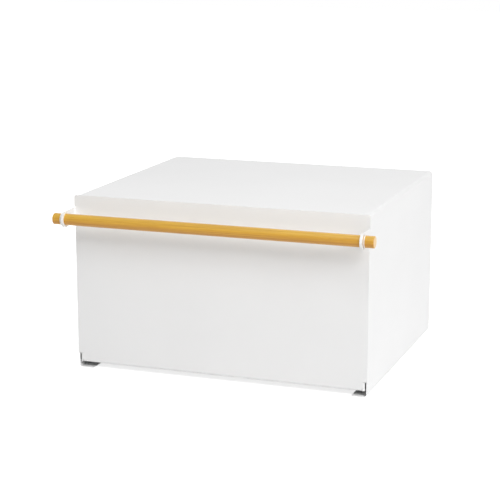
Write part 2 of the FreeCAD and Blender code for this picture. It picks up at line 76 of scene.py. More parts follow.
bpy.ops.object.select_all(action="DESELECT")
bpy.ops.object.camera_add(
    location=to_camera * DISTANCE + camera_right * ACROSS + camera_up * ABOVE,
    rotation=(math.pi / 2 - ELEVATION, 0, AZIMUTH))
camera = bpy.context.object
camera.name = "product_camera"
camera.data.sensor_width = SENSOR
camera.data.lens = FOCAL_PIXELS * SENSOR / FRAME_PIXELS
bpy.context.scene.camera = camera
print("camera lens", round(camera.data.lens, 1), "mm")

# %% [markdown]
# ## Light
#
# White goods are lit softly from several sides. Three large lamps stand in a row far off at the
# front right: they make the side face the brightest one, and the handle bar throws its soft shadow
# down the door. Two small lamps ahead of the door's upper edge brighten the band above the bar.
# Weaker ones stand beside the box and over the rear of its top, and one behind it keeps the back
# and the left side from going dark. The world fills the rest evenly. All of them are weak enough
# that a colour renders about as it is written.

# %% Lamps and world
LAMPS = {  # name: (where it stands, what it looks at, size in metres, watts)
    "key_lamp_left": ((1.90, -2.87, 2.39), (0.0, -0.15, 0.15), 1.2, 27.7),
    "key_lamp_middle": ((2.54, -2.28, 2.39), (0.0, -0.15, 0.15), 1.2, 31.5),
    "key_lamp_right": ((3.36, -1.72, 1.65), (0.0, -0.15, 0.15), 1.2, 23.6),
    "front_lamp": ((0.1, -1.0, 1.5), (0.0, -0.15, 0.22), 0.5, 3.2),
    "handle_lamp": ((0.1, -0.55, 1.1), (0.0, -0.15, 0.22), 0.5, 1.5),
    "side_lamp": ((3.0, 0.4, 0.45), (0.2, 0.05, 0.05), 0.8, 11),
    "top_lamp": ((0.1, 0.8, 1.25), (0.0, 0.1, 0.2), 0.8, 3.5),
    "rear_lamp": ((-2.4, 2.2, 0.4), (0.0, 0.0, 0.12), 1.6, 42),
}
for name, (place, target, size, power) in LAMPS.items():
    aim = (Vector(target) - Vector(place)).to_track_quat("-Z", "Y").to_euler()
    bpy.ops.object.light_add(type="AREA", location=place, rotation=aim)
    lamp = bpy.context.object
    lamp.name = name
    lamp.data.shape, lamp.data.size, lamp.data.energy = "DISK", size, power
    lamp.visible_camera = False
    print(name, power, "W")


def linear(hex_colour):
    """An sRGB hex colour as the linear colour that a shader takes."""
    steps = [int(hex_colour[i:i + 2], 16) / 255 for i in (1, 3, 5)]
    return [s / 12.92 if s <= 0.04045 else ((s + 0.055) / 1.055) ** 2.4 for s in steps] + [1.0]


def add_node(tree, kind, links=None, values=None, **settings):
    """Adds a node with its settings, the values of its sockets and the links into them."""
    made = tree.nodes.new(kind)
    for name, setting in settings.items():
        setattr(made, name, setting)
    for socket, value in (values or {}).items():
        made.inputs[socket].default_value = value
    for socket, source in (links or {}).items():
        tree.links.new(source, made.inputs[socket])
    return made


def seen_directly(tree):
    """1 for rays that show the background to the eye, straight or through a gloss or a glass."""
    path = add_node(tree, "ShaderNodeLightPath")
    either = add_node(tree, "ShaderNodeMath", {0: path.outputs["Is Camera Ray"],
                                               1: path.outputs["Is Glossy Ray"]}, operation="MAXIMUM")
    return add_node(tree, "ShaderNodeMath", {0: either.outputs[0],
                                             1: path.outputs["Is Transmission Ray"]},
                    operation="MAXIMUM").outputs[0]


WORLD_FILL = 0.275   # strength of the even light from all round
world = bpy.data.worlds.new("white_studio")
world.use_nodes = True
world.node_tree.nodes.clear()
seen = seen_directly(world.node_tree)
strength = add_node(world.node_tree, "ShaderNodeMix", {"Factor": seen},
                    {"A": WORLD_FILL, "B": 1.0}, data_type="FLOAT")
sky = add_node(world.node_tree, "ShaderNodeBackground", {"Strength": strength.outputs["Result"]},
               {"Color": linear("#FFFFFF")})
add_node(world.node_tree, "ShaderNodeOutputWorld", {"Surface": sky.outputs[0]})
bpy.context.scene.world = world
bpy.context.scene.view_settings.view_transform = "Standard"

# %% [markdown]
# ## Counter
#
# The box stands on a plain white counter. A white diffuse plane would render grey wherever less
# than full light falls on it, so for rays that go straight to the eye some white is added to
# what the plane reflects: three quarters of full white near the box, where its soft shadow has to
# stay, and all of it further out. The box is still lit only by what the plane really reflects.

# %% Counter
COUNTER_LIFT = 0.75          # added white beside the box, as seen by the eye
LIFT_FROM, LIFT_TO = 0.5, 1.1     # distance from the middle over which it grows to 1, in metres
COUNTER_SIDE = 14            # metres
counter_paint = bpy.data.materials.new("white_counter")
counter_paint.use_nodes = True
tree = counter_paint.node_tree
tree.nodes.clear()
matt = add_node(tree, "ShaderNodeBsdfDiffuse", values={"Color": linear("#F0F0F0")})
place = add_node(tree, "ShaderNodeTexCoord").outputs["Object"]
distance = add_node(tree, "ShaderNodeVectorMath", {0: place}, operation="LENGTH")
lifted = add_node(tree, "ShaderNodeMapRange", {"Value": distance.outputs["Value"]},
                  {"From Min": LIFT_FROM, "From Max": LIFT_TO,
                   "To Min": COUNTER_LIFT, "To Max": 1.0})
lift = add_node(tree, "ShaderNodeEmission", {"Strength": lifted.outputs["Result"]})
both = add_node(tree, "ShaderNodeAddShader", {0: matt.outputs[0], 1: lift.outputs[0]})
shown = add_node(tree, "ShaderNodeMixShader", {0: seen_directly(tree), 1: matt.outputs[0],
                                               2: both.outputs[0]})
add_node(tree, "ShaderNodeOutputMaterial", {"Surface": shown.outputs[0]})

bpy.ops.object.select_all(action="DESELECT")
bpy.ops.mesh.primitive_plane_add(size=COUNTER_SIDE)
counter = bpy.context.object
counter.name = "counter"
counter.data.materials.append(counter_paint)

# %% [markdown]
# ## White powder coat
#
# Powder coat is a plastic that is sprayed on as dry powder and melted in an oven. It is a dense,
# matt off-white, and its skin is never quite flat: it has a fine grain about a millimetre across
# and, under that, a faint orange peel of a few millimetres. Both are drawn as bump. The peel
# changes the gloss a little too, and the shade wanders very slightly over the width of a hand.
# Where the surface looks both sideways and up or down, as on a bend between an upright and a
# level face, the coat is painted a touch greyer: painted shade that takes out the brighter line
# the lamps leave along those bends.

# %% Powder coat
def new_finish(name):
    """An empty node material with a Principled shader and its output; returns all three."""
    finish = bpy.data.materials.new(name)
    finish.use_nodes = True
    finish.node_tree.nodes.clear()
    shader = add_node(finish.node_tree, "ShaderNodeBsdfPrincipled")
    add_node(finish.node_tree, "ShaderNodeOutputMaterial", {"Surface": shader.outputs[0]})
    return finish, finish.node_tree, shader


def per_metre(millimetres):
    """The scale of a pattern whose features are that many millimetres across."""
    return 1 / (millimetres * MM)


def ramp(tree, source, stops):
    """A Color Ramp through (position, hex colour) stops."""
    made = add_node(tree, "ShaderNodeValToRGB", {"Fac": source})
    for extra in stops[2:]:
        made.color_ramp.elements.new(extra[0])
    for element, (position, colour) in zip(made.color_ramp.elements, sorted(stops)):
        element.position, element.color = position, linear(colour)
    return made.outputs["Color"]


def bumped(tree, shader, layers):
    """Chains Bump nodes, one for each (height, depth in millimetres, strength) layer."""
    normal = None
    for height, depth, strength in layers:
        links = {"Height": height} | ({"Normal": normal} if normal else {})
        normal = add_node(tree, "ShaderNodeBump", links,
                          {"Distance": depth * MM, "Strength": strength}).outputs["Normal"]
    tree.links.new(normal, shader.inputs["Normal"])


powder_coat, tree, shader = new_finish("white_powder_coat")
here = add_node(tree, "ShaderNodeTexCoord").outputs["Object"]
grain = add_node(tree, "ShaderNodeTexNoise", {"Vector": here},
                 {"Scale": per_metre(1.1), "Detail": 2.0, "Roughness": 0.55})
peel = add_node(tree, "ShaderNodeTexNoise", {"Vector": here},
                {"Scale": per_metre(6), "Detail": 1.0, "Roughness": 0.4})
shade = add_node(tree, "ShaderNodeTexNoise", {"Vector": here},
                 {"Scale": per_metre(90), "Detail": 2.0, "Roughness": 0.5})
coat_colour = ramp(tree, shade.outputs["Fac"], [(0.35, "#F3F3F3"), (0.65, "#F4F4F4")])
# Painted shade on the bends: the more a face looks both sideways and up or down, the more its colour
# is mixed towards a greyer white, to dim the lamps' brighter line along the bends.
outward = add_node(tree, "ShaderNodeTexCoord").outputs["Normal"]
slant = add_node(tree, "ShaderNodeSeparateXYZ", {"Vector": add_node(
    tree, "ShaderNodeVectorMath", {0: outward}, operation="ABSOLUTE").outputs[0]})
on_bend = add_node(tree, "ShaderNodeMath", {0: slant.outputs["X"], 1: slant.outputs["Z"]},
                   operation="MULTIPLY")
painted_bend_shade = add_node(tree, "ShaderNodeMapRange", {"Value": on_bend.outputs[0]}, {"From Max": 0.5})
coat_with_painted_bend_shade = add_node(tree, "ShaderNodeMix", {"Factor": painted_bend_shade.outputs["Result"], "A": coat_colour},
                     {"B": linear("#ECECEC")}, data_type="RGBA")
tree.links.new(coat_with_painted_bend_shade.outputs["Result"], shader.inputs["Base Color"])
gloss = add_node(tree, "ShaderNodeMapRange", {"Value": peel.outputs["Fac"]},
                 {"From Min": 0.3, "From Max": 0.7, "To Min": 0.58, "To Max": 0.66})
tree.links.new(gloss.outputs["Result"], shader.inputs["Roughness"])
shader.inputs["IOR"].default_value = 1.5
shader.inputs["Specular IOR Level"].default_value = 0.12
bumped(tree, shader, [(peel.outputs["Fac"], 0.05, 0.35), (grain.outputs["Fac"], 0.02, 0.35)])

# %% [markdown]
# ## Lacquered wood
#
# The handle is a turned dowel of a pale hardwood under a clear honey-coloured lacquer. The
# grain runs along it: wide soft bands where the growth rings are cut at a slant, thin streaks
# under a millimetre wide, and short dark pores. They come from one set of coordinates,
# squeezed along the bar, so they meet at the rim of the end faces, which are paler end grain.
# Over the bands lies a wide tone, partly a random wander of the wood and partly painted light
# by height: lighter along the bottom as painted bounce from the counter, a deeper orange below
# the middle as painted shade, and yellower towards the top as painted light from above. The side
# that faces the door is pale sapwood.

# %% Lacquered wood
lacquered_wood, tree, shader = new_finish("lacquered_hardwood")
bar_low, bar_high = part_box("handle_bar")
BAR_Y, BAR_Z = (bar_low.y + bar_high.y) / 2, (bar_low.z + bar_high.z) / 2
SAP_FROM, SAP_TO = 1.0 * MM, 4.5 * MM     # behind the bar's axis, where the sapwood comes in
SAP_WANDER = 3 * MM          # how far that edge wanders along the bar
END_FROM, END_TO = 0.4 * MM, 0.05 * MM    # in from the ends, where the end grain comes in
PITH_Y, PITH_Z = -19 * MM, 26 * MM        # middle of the growth rings, from the bar's axis
RING_SPACING = 5.13 * MM
WAVE_PERIOD = 0.3142         # of the wave texture at scale 1
PAINTED_LIGHT_REACH = 7 * MM          # the wide tone changes this far below and above the axis
here = add_node(tree, "ShaderNodeTexCoord").outputs["Object"]
across = add_node(tree, "ShaderNodeMapping", {"Vector": here},
                  {"Location": (0.0, -BAR_Y - PITH_Y, -BAR_Z - PITH_Z),
                   "Rotation": (0.0, 0.006, 0.012)})
squeezed = add_node(tree, "ShaderNodeMapping", {"Vector": across.outputs[0]},
                    {"Scale": (0.018, 1.0, 1.0)})
wander = add_node(tree, "ShaderNodeTexNoise", {"Vector": squeezed.outputs[0]},
                  {"Scale": per_metre(9), "Detail": 2.0, "Roughness": 0.5})
rings = add_node(tree, "ShaderNodeTexWave", {"Vector": squeezed.outputs[0]},
                 {"Scale": WAVE_PERIOD / RING_SPACING, "Distortion": 3.2, "Detail": 2.0,
                  "Detail Scale": 1.4, "Detail Roughness": 0.6},
                 wave_type="RINGS", rings_direction="X", wave_profile="SAW")
streaks = add_node(tree, "ShaderNodeTexNoise", {"Vector": squeezed.outputs[0]},
                   {"Scale": per_metre(0.9), "Detail": 3.0, "Roughness": 0.6})
pores = add_node(tree, "ShaderNodeTexNoise", {"Vector": squeezed.outputs[0]},
                 {"Scale": per_metre(0.45), "Detail": 1.0, "Roughness": 0.5})
body_colour = ramp(tree, rings.outputs["Fac"],
                   [(0.0, "#DCAB38"), (0.55, "#D5A02E"), (1.0, "#C58E24")])
height = add_node(tree, "ShaderNodeSeparateXYZ", {"Vector": across.outputs[0]})
# Painted light by height: the colour is yellower towards the top of the bar, deeper orange below the
# middle and lighter again along the bottom, mixed with the wood's random wander.
painted_light_by_height = add_node(tree, "ShaderNodeMapRange", {"Value": height.outputs["Z"]},
                  {"From Min": -PITH_Z - PAINTED_LIGHT_REACH, "From Max": -PITH_Z + PAINTED_LIGHT_REACH})
wander_and_painted_light = add_node(tree, "ShaderNodeMix",
                     {"A": wander.outputs["Fac"], "B": painted_light_by_height.outputs["Result"]},
                     {"Factor": 0.6}, data_type="FLOAT")
wander_and_painted_light_colour = ramp(tree, wander_and_painted_light.outputs["Result"],
                   [(0.2, "#E8AE4A"), (0.37, "#C27A12"), (0.75, "#E6BC4A")])
banded = add_node(tree, "ShaderNodeMix", {"A": body_colour, "B": wander_and_painted_light_colour},
                  {"Factor": 0.5}, data_type="RGBA")
on_bar = add_node(tree, "ShaderNodeSeparateXYZ", {"Vector": here})
behind = add_node(tree, "ShaderNodeMath", {0: wander.outputs["Fac"], 2: on_bar.outputs["Y"]},
                  {1: SAP_WANDER}, operation="MULTIPLY_ADD")
sapwood = add_node(tree, "ShaderNodeMapRange", {"Value": behind.outputs[0]},
                   {"From Min": BAR_Y + SAP_FROM + SAP_WANDER / 2,
                    "From Max": BAR_Y + SAP_TO + SAP_WANDER / 2, "To Max": 0.85})
sappy = add_node(tree, "ShaderNodeMix", {"Factor": sapwood.outputs["Result"],
                                         "A": banded.outputs["Result"]},
                 {"B": linear("#F6E0B8")}, data_type="RGBA")
streak_colour = ramp(tree, streaks.outputs["Fac"], [(0.35, "#DDCBA8"), (0.6, "#FFFFFF")])
streaked = add_node(tree, "ShaderNodeMix", {"A": sappy.outputs["Result"], "B": streak_colour},
                    {"Factor": 0.55}, data_type="RGBA", blend_type="MULTIPLY")
end_distance = add_node(tree, "ShaderNodeMath", {0: on_bar.outputs["X"]}, operation="ABSOLUTE")
end_mask = add_node(tree, "ShaderNodeMapRange", {"Value": end_distance.outputs[0]},
                    {"From Min": bar_high.x - END_FROM, "From Max": bar_high.x - END_TO,
                     "To Max": 0.7})
ended = add_node(tree, "ShaderNodeMix", {"Factor": end_mask.outputs["Result"],
                                         "A": streaked.outputs["Result"]},
                 {"B": linear("#E3C084")}, data_type="RGBA")
pore_mask = add_node(tree, "ShaderNodeMapRange", {"Value": pores.outputs["Fac"]},
                     {"From Min": 0.66, "From Max": 0.74, "To Max": 0.55})
pored = add_node(tree, "ShaderNodeMix", {"Factor": pore_mask.outputs["Result"],
                                         "A": ended.outputs["Result"]},
                 {"B": linear("#9C6B26")}, data_type="RGBA")
tree.links.new(pored.outputs["Result"], shader.inputs["Base Color"])
shader.inputs["Roughness"].default_value = 0.42
shader.inputs["IOR"].default_value = 1.5
shader.inputs["Specular IOR Level"].default_value = 0.4
shader.inputs["Coat Weight"].default_value = 0.35
shader.inputs["Coat Roughness"].default_value = 0.35
bumped(tree, shader, [(streaks.outputs["Fac"], 0.03, 0.3)])

# %% [markdown]
# ## Nylon, nickel, plated steel and silicone
#
# The small parts are stock hardware. The bushes are moulded nylon, a milky white with a low
# sheen and a little light inside it, and the hinge washers are the same plastic in black, a black
# that is painted shade for the deep shadow in the slot of each cut-away door corner. The
# cups of the catches are white nylon too, and their disc magnets are bright nickel plate. The
# hinge pins are steel with a thin pale zinc coat. The feet are discs of clear silicone.

# %% Small hardware finishes
nylon, tree, shader = new_finish("white_nylon")
here = add_node(tree, "ShaderNodeTexCoord").outputs["Object"]
cloud = add_node(tree, "ShaderNodeTexNoise", {"Vector": here},
                 {"Scale": per_metre(7), "Detail": 2.0, "Roughness": 0.5})
tree.links.new(ramp(tree, cloud.outputs["Fac"], [(0.35, "#F1F1EE"), (0.65, "#F8F8F6")]),
               shader.inputs["Base Color"])
mould = add_node(tree, "ShaderNodeTexNoise", {"Vector": here},
                 {"Scale": per_metre(0.8), "Detail": 1.0, "Roughness": 0.5})
shader.inputs["Roughness"].default_value = 0.36
shader.inputs["IOR"].default_value = 1.53
shader.inputs["Subsurface Weight"].default_value = 0.15
shader.inputs["Subsurface Radius"].default_value = (0.002, 0.002, 0.002)
shader.inputs["Subsurface Scale"].default_value = 1.0
bumped(tree, shader, [(mould.outputs["Fac"], 0.02, 0.25)])

# Painted shade: the washers are black so that the slot in each cut-away corner of the door shows as
# dark as deep shadow.
black_nylon, tree, shader = new_finish("black_nylon")
here = add_node(tree, "ShaderNodeTexCoord").outputs["Object"]
scuffs = add_node(tree, "ShaderNodeTexNoise", {"Vector": here},
                  {"Scale": per_metre(0.7), "Detail": 2.0, "Roughness": 0.6})
tree.links.new(ramp(tree, scuffs.outputs["Fac"], [(0.35, "#1C1C1D"), (0.7, "#2A2A2B")]),
               shader.inputs["Base Color"])
shader.inputs["Roughness"].default_value = 0.5
bumped(tree, shader, [(scuffs.outputs["Fac"], 0.02, 0.3)])

nickel, tree, shader = new_finish("bright_nickel_plate")
here = add_node(tree, "ShaderNodeTexCoord").outputs["Object"]
turned_marks = add_node(tree, "ShaderNodeTexNoise", {"Vector": here},
                        {"Scale": per_metre(0.5), "Detail": 2.0, "Roughness": 0.7})
tarnish = add_node(tree, "ShaderNodeTexNoise", {"Vector": here},
                   {"Scale": per_metre(5), "Detail": 2.0, "Roughness": 0.5})
tree.links.new(ramp(tree, tarnish.outputs["Fac"], [(0.3, "#C4BFB4"), (0.7, "#D6D2C8")]),
               shader.inputs["Base Color"])
shader.inputs["Metallic"].default_value = 1.0
plate_gloss = add_node(tree, "ShaderNodeMapRange", {"Value": turned_marks.outputs["Fac"]},
                       {"From Min": 0.3, "From Max": 0.7, "To Min": 0.2, "To Max": 0.34})
tree.links.new(plate_gloss.outputs["Result"], shader.inputs["Roughness"])
bumped(tree, shader, [(turned_marks.outputs["Fac"], 0.01, 0.3)])

plated_steel, tree, shader = new_finish("zinc_coated_steel")
here = add_node(tree, "ShaderNodeTexCoord").outputs["Object"]
spangle = add_node(tree, "ShaderNodeTexVoronoi", {"Vector": here}, {"Scale": per_metre(0.9)})
tree.links.new(ramp(tree, spangle.outputs["Distance"], [(0.1, "#B9BBBC"), (0.7, "#D2D4D4")]),
               shader.inputs["Base Color"])
shader.inputs["Metallic"].default_value = 1.0
shader.inputs["Roughness"].default_value = 0.38
bumped(tree, shader, [(spangle.outputs["Distance"], 0.01, 0.3)])

silicone, tree, shader = new_finish("clear_silicone")
here = add_node(tree, "ShaderNodeTexCoord").outputs["Object"]
dust = add_node(tree, "ShaderNodeTexNoise", {"Vector": here},
                {"Scale": per_metre(1.5), "Detail": 2.0, "Roughness": 0.6})
tree.links.new(ramp(tree, dust.outputs["Fac"], [(0.3, "#D9DBDA"), (0.7, "#E9EAE9")]),
               shader.inputs["Base Color"])
shader.inputs["Roughness"].default_value = 0.42
shader.inputs["IOR"].default_value = 1.41
shader.inputs["Transmission Weight"].default_value = 0.35
bumped(tree, shader, [(dust.outputs["Fac"], 0.02, 0.25)])
print("finishes:", sorted(made.name for made in bpy.data.materials if made.users))

# %% [markdown]
# ## Tools for modelling
#
# Each new piece begins as a primitive of the right size in the right place. Its transform is
# applied at once, so that a place inside the mesh is a place in the room. In edit mode, parts
# are then chosen by where they are and which way they look, which is what `pick` does.

# %% Tools
def settle(name):
    """Names the primitive that was just added and moves its place, turn and size into its mesh."""
    piece = bpy.context.object
    piece.name = piece.data.name = name
    bpy.ops.object.transform_apply(location=True, rotation=True, scale=True)
    return piece


def add_block(name, low, high):
    """A block between two corners."""
    bpy.ops.object.select_all(action="DESELECT")
    bpy.ops.mesh.primitive_cube_add(size=1, location=(low + high) / 2, scale=high - low)
    return settle(name)


def add_plate(name, centre, turn, size):
    """A flat rectangle, turned about X: 0 lies flat, a quarter turn faces the front."""
    bpy.ops.object.select_all(action="DESELECT")
    bpy.ops.mesh.primitive_plane_add(size=1, location=centre, rotation=(turn, 0, 0))
    bpy.context.object.scale = (size[0], size[1], 1)
    return settle(name)


def pick(kind, test):
    """Selects the faces, edges or points whose middle and direction pass the test.
    The direction is a face's normal, or runs along an edge. Returns how many were chosen."""
    bpy.ops.mesh.select_mode(type=kind)
    bpy.ops.mesh.select_all(action="DESELECT")
    mesh = bmesh.from_edit_mesh(bpy.context.edit_object.data)
    chosen = 0
    for part in {"FACE": mesh.faces, "EDGE": mesh.edges, "VERT": mesh.verts}[kind]:
        if kind == "FACE":
            middle, direction = part.calc_center_median(), part.normal
        elif kind == "EDGE":
            ends = [point.co for point in part.verts]
            middle, direction = (ends[0] + ends[1]) / 2, (ends[1] - ends[0]).normalized()
        else:
            middle, direction = part.co, part.normal
        if test(middle, direction):
            part.select_set(True)
            chosen += 1
    mesh.select_flush_mode()
    bmesh.update_edit_mesh(bpy.context.edit_object.data)
    return chosen


def near(first, second, slack=0.02 * MM):
    return abs(first - second) < slack


def middle_of(node):
    low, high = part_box(node)
    return (low + high) / 2


def edit(piece):
    """Goes into edit mode on one piece alone."""
    bpy.ops.object.select_all(action="DESELECT")
    bpy.context.view_layer.objects.active = piece
    piece.select_set(True)
    bpy.ops.object.mode_set(mode="EDIT")


def modify(piece, kind, **settings):
    """Adds a modifier, sets it and applies it."""
    bpy.ops.object.select_all(action="DESELECT")
    bpy.context.view_layer.objects.active = piece
    piece.select_set(True)
    bpy.ops.object.modifier_add(type=kind)
    modifier = piece.modifiers[-1]
    for name, setting in settings.items():
        setattr(modifier, name, setting)
    bpy.ops.object.modifier_apply(modifier=modifier.name)


def soften(piece, radius, steps=2):
    """Rounds every sharp edge, and shades the flats flat and the rounds round."""
    modify(piece, "BEVEL", width=radius, segments=steps, limit_method="ANGLE",
           angle_limit=math.radians(40), use_clamp_overlap=True)
    bpy.ops.object.shade_smooth_by_angle(angle=math.radians(50))
    modify(piece, "WEIGHTED_NORMAL", mode="FACE_AREA", weight=80, keep_sharp=True)


def hand_over(piece, node, body, finish):
    """Gives a finished piece its material, hangs it on its body, hides the node it stands for and
    prints how far it lies from that node's box.
    """
    piece.data.materials.clear()
    piece.data.materials.append(finish)
    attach(piece, body)
    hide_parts(node)
    apart = 0
    for i, (low, high) in enumerate(zip(*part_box(node))):
        reach = [corner.co[i] for corner in piece.data.vertices]
        apart = max(apart, abs(min(reach) - low), abs(max(reach) - high))
    faces = len(piece.data.polygons)
    print(f"{piece.name}: {faces} faces, {apart / MM:.2f} mm from its solid's box")


# %% [markdown]
# ## The shell
#
# One sheet, 0.8 mm thick, is bent into the left foot flange, the left side, the top, the right
# side and the right foot flange. The quickest way to a bent sheet is to start from the block it
# wraps: take away the open sides, round the long edges with the bend radius, and only then give
# the skin its thickness inwards. Every bend then has the same wall, as a press brake makes it.

# %% Shell
SHEET = 0.8 * MM
TOP_BEND, FOOT_BEND = 5 * MM, 3.2 * MM
FOOT_FLANGE = 20 * MM
COAT_ROUND = 0.22 * MM       # a cut edge under its coat

shell_low, shell_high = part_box("body_shell")
shell = add_block("folded_shell", shell_low, shell_high)
edit(shell)
pick("FACE", lambda middle, normal: abs(normal.y) > 0.9)
bpy.ops.mesh.delete(type="FACE")
flange_edge = shell_high.x - FOOT_FLANGE
for side in (-1, 1):
    pick("FACE", lambda middle, normal: normal.z < -0.9)
    bpy.ops.mesh.bisect(plane_co=(side * flange_edge, 0, 0), plane_no=RIGHT)
pick("FACE", lambda middle, normal: normal.z < -0.9 and abs(middle.x) < flange_edge)
bpy.ops.mesh.delete(type="FACE")
for level, bend in ((shell_high.z, TOP_BEND), (shell_low.z, FOOT_BEND)):
    count = pick("EDGE", lambda middle, along: near(abs(middle.x), shell_high.x)
                 and near(middle.z, level))
    bpy.ops.mesh.bevel(offset=bend, segments=8)
    print("bends at height", round(level / MM, 1), "mm:", count)
bpy.ops.object.mode_set(mode="OBJECT")
modify(shell, "SOLIDIFY", thickness=SHEET, offset=-1, use_even_offset=True)
soften(shell, COAT_ROUND)
hand_over(shell, "body_shell", "box", powder_coat)

# %% [markdown]
# ## The back
#
# The back is a shallow pan, pressed from the same sheet, set a little inside the rear edge of
# the shell and welded along its flanges. It starts as a block too: the front is opened, the four
# corners and the rim of the rear face are rounded, and the skin gets its thickness.

# %% Back pan
FOLD = 1.8 * MM              # outer radius of a small fold in the thin sheet
PAN_GAP = 0.1 * MM           # between the pan and the shell round it

pan_low, pan_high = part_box("back_panel")
back_pan = add_block("back_pan", pan_low, pan_high)
edit(back_pan)
pick("FACE", lambda middle, normal: normal.y < -0.9)
bpy.ops.mesh.delete(type="FACE")
for level, bend in ((pan_high.z, TOP_BEND), (pan_low.z, FOOT_BEND)):
    pick("EDGE", lambda middle, along: abs(along.y) > 0.9 and near(middle.z, level))
    bpy.ops.mesh.bevel(offset=bend - SHEET - PAN_GAP, segments=6)
pick("EDGE", lambda middle, along: near(middle.y, pan_high.y))
bpy.ops.mesh.bevel(offset=FOLD, segments=5)
bpy.ops.object.mode_set(mode="OBJECT")
modify(back_pan, "SOLIDIFY", thickness=SHEET, offset=-1, use_even_offset=True)
soften(back_pan, COAT_ROUND)
hand_over(back_pan, "back_panel", "box", powder_coat)

# %% [markdown]
# ## The floor
#
# The floor is a tray upside down: a flat plate with a skirt down each side, a low upturn along
# the rear and a hem under the front edge. It is drawn as the middle of its sheet, folded by
# extruding edges, and thickened to both sides at the end. Corners that would meet the flanges of
# the back are cut away, and the skirts start behind the hinge.

# %% Floor tray
HINGE_ROOM = 20 * MM         # free depth behind the shell's front edges, under the plate
SETBACK = 1 * MM             # front of the floor behind those edges
REAR_CUT = (1.9 * MM, 9.3 * MM)    # how far in from the rear corner, across and along
UPTURN, HEM = 8 * MM, 6 * MM
HEM_GAP = 0.04 * MM
MIDDLE_FOLD = 1.4 * MM       # radius of a small fold at the middle of the sheet

tray_low, tray_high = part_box("floor_panel")
half_sheet = SHEET / 2
plate_z = tray_high.z - UPTURN - half_sheet
side_x, rear_y = tray_high.x - half_sheet, tray_high.y - half_sheet
rear_half = side_x - REAR_CUT[0]
rear_start = rear_y - REAR_CUT[1]
skirt_start = tray_low.y + HINGE_ROOM - SETBACK

nose_y = tray_low.y + half_sheet
tray = add_plate("floor_tray", (0, (nose_y + rear_y) / 2, plate_z), 0,
                 (2 * side_x, rear_y - nose_y))
edit(tray)
for place, way in (((rear_half, 0, 0), RIGHT), ((-rear_half, 0, 0), RIGHT),
                   ((0, rear_start, 0), BACK), ((0, skirt_start, 0), BACK)):
    bpy.ops.mesh.select_all(action="SELECT")
    bpy.ops.mesh.bisect(plane_co=place, plane_no=way)
pick("FACE", lambda middle, normal: abs(middle.x) > rear_half and middle.y > rear_start)
bpy.ops.mesh.delete(type="FACE")


def fold_out(test, *moves):
    """Chooses edges and extrudes them by each move in turn, as flanges that are folded on."""
    count = pick("EDGE", test)
    for move in moves:
        bpy.ops.mesh.extrude_edges_move(TRANSFORM_OT_translate={"value": move})
    return count


skirts = fold_out(lambda middle, along: near(abs(middle.x), side_x) and middle.y > skirt_start,
                  DOWN * (plate_z - tray_low.z))
upturns = fold_out(lambda middle, along: near(middle.y, rear_y) and abs(along.x) > 0.9,
                   UP * (tray_high.z - plate_z))
hems = fold_out(lambda middle, along: near(middle.y, nose_y) and abs(along.x) > 0.9
                and abs(middle.x) < side_x,
                DOWN * (SHEET + HEM_GAP), BACK * HEM)
pick("EDGE", lambda middle, along: near(middle.z, plate_z) and (
    near(abs(middle.x), side_x) and abs(along.y) > 0.9 and middle.y > skirt_start
    or near(middle.y, rear_y) and abs(along.x) > 0.9))
bpy.ops.mesh.bevel(offset=MIDDLE_FOLD, segments=5, clamp_overlap=False)
bpy.ops.mesh.select_all(action="SELECT")
bpy.ops.mesh.normals_make_consistent(inside=False)
bpy.ops.object.mode_set(mode="OBJECT")
modify(tray, "SOLIDIFY", thickness=SHEET, offset=0, use_even_offset=True)
soften(tray, COAT_ROUND)
hand_over(tray, "floor_panel", "box", powder_coat)
print("skirts, upturns, hems:", skirts, upturns, hems)

# %% [markdown]
# ## The front rail
#
# A small channel under the top keeps the opening stiff and carries two magnet catches. Its web
# faces the door and its flanges run back. Again the middle of the sheet is drawn and folded, and
# the holes for the catches are drilled with a Boolean, whose cutter is a plain cylinder.

# %% Front rail
CUP_BODY, CUP_PLAY = 14 * MM, 0.1 * MM      # diameter, and how much wider its hole is
RAIL_DRILL, DOOR_DRILL = 4 * MM, 6 * MM     # depths that go through one wall only


def drill(piece, centre, along, diameter, depth):
    """Cuts a round hole through a piece and takes the cutter away again."""
    bpy.ops.object.select_all(action="DESELECT")
    bpy.ops.mesh.primitive_cylinder_add(vertices=64, radius=diameter / 2, depth=depth,
                                        location=centre,
                                        rotation=UP.rotation_difference(along).to_euler())
    cutter = settle("cutter")
    modify(piece, "BOOLEAN", object=cutter, operation="DIFFERENCE", solver="EXACT")
    bpy.data.objects.remove(cutter, do_unlink=True)


rail_low, rail_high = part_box("front_rail")
web_y = rail_low.y + half_sheet
rail = add_plate("front_channel", (0, web_y, (rail_low.z + rail_high.z) / 2), math.pi / 2,
                 (rail_high.x - rail_low.x, rail_high.z - rail_low.z - SHEET))
edit(rail)
fold_out(lambda middle, along: abs(along.x) > 0.9, BACK * (rail_high.y - web_y))
pick("EDGE", lambda middle, along: near(middle.y, web_y) and abs(along.x) > 0.9)
bpy.ops.mesh.bevel(offset=MIDDLE_FOLD, segments=5)
bpy.ops.mesh.select_all(action="SELECT")
bpy.ops.mesh.normals_make_consistent(inside=False)
bpy.ops.object.mode_set(mode="OBJECT")
modify(rail, "SOLIDIFY", thickness=SHEET, offset=0, use_even_offset=True)
catch_places = {word: middle_of("catch_cup_" + word) for word in ("left", "right")}
for place in catch_places.values():
    drill(rail, Vector((place.x, web_y, place.z)), BACK, CUP_BODY + CUP_PLAY, RAIL_DRILL)
soften(rail, COAT_ROUND)
hand_over(rail, "front_rail", "box", powder_coat)

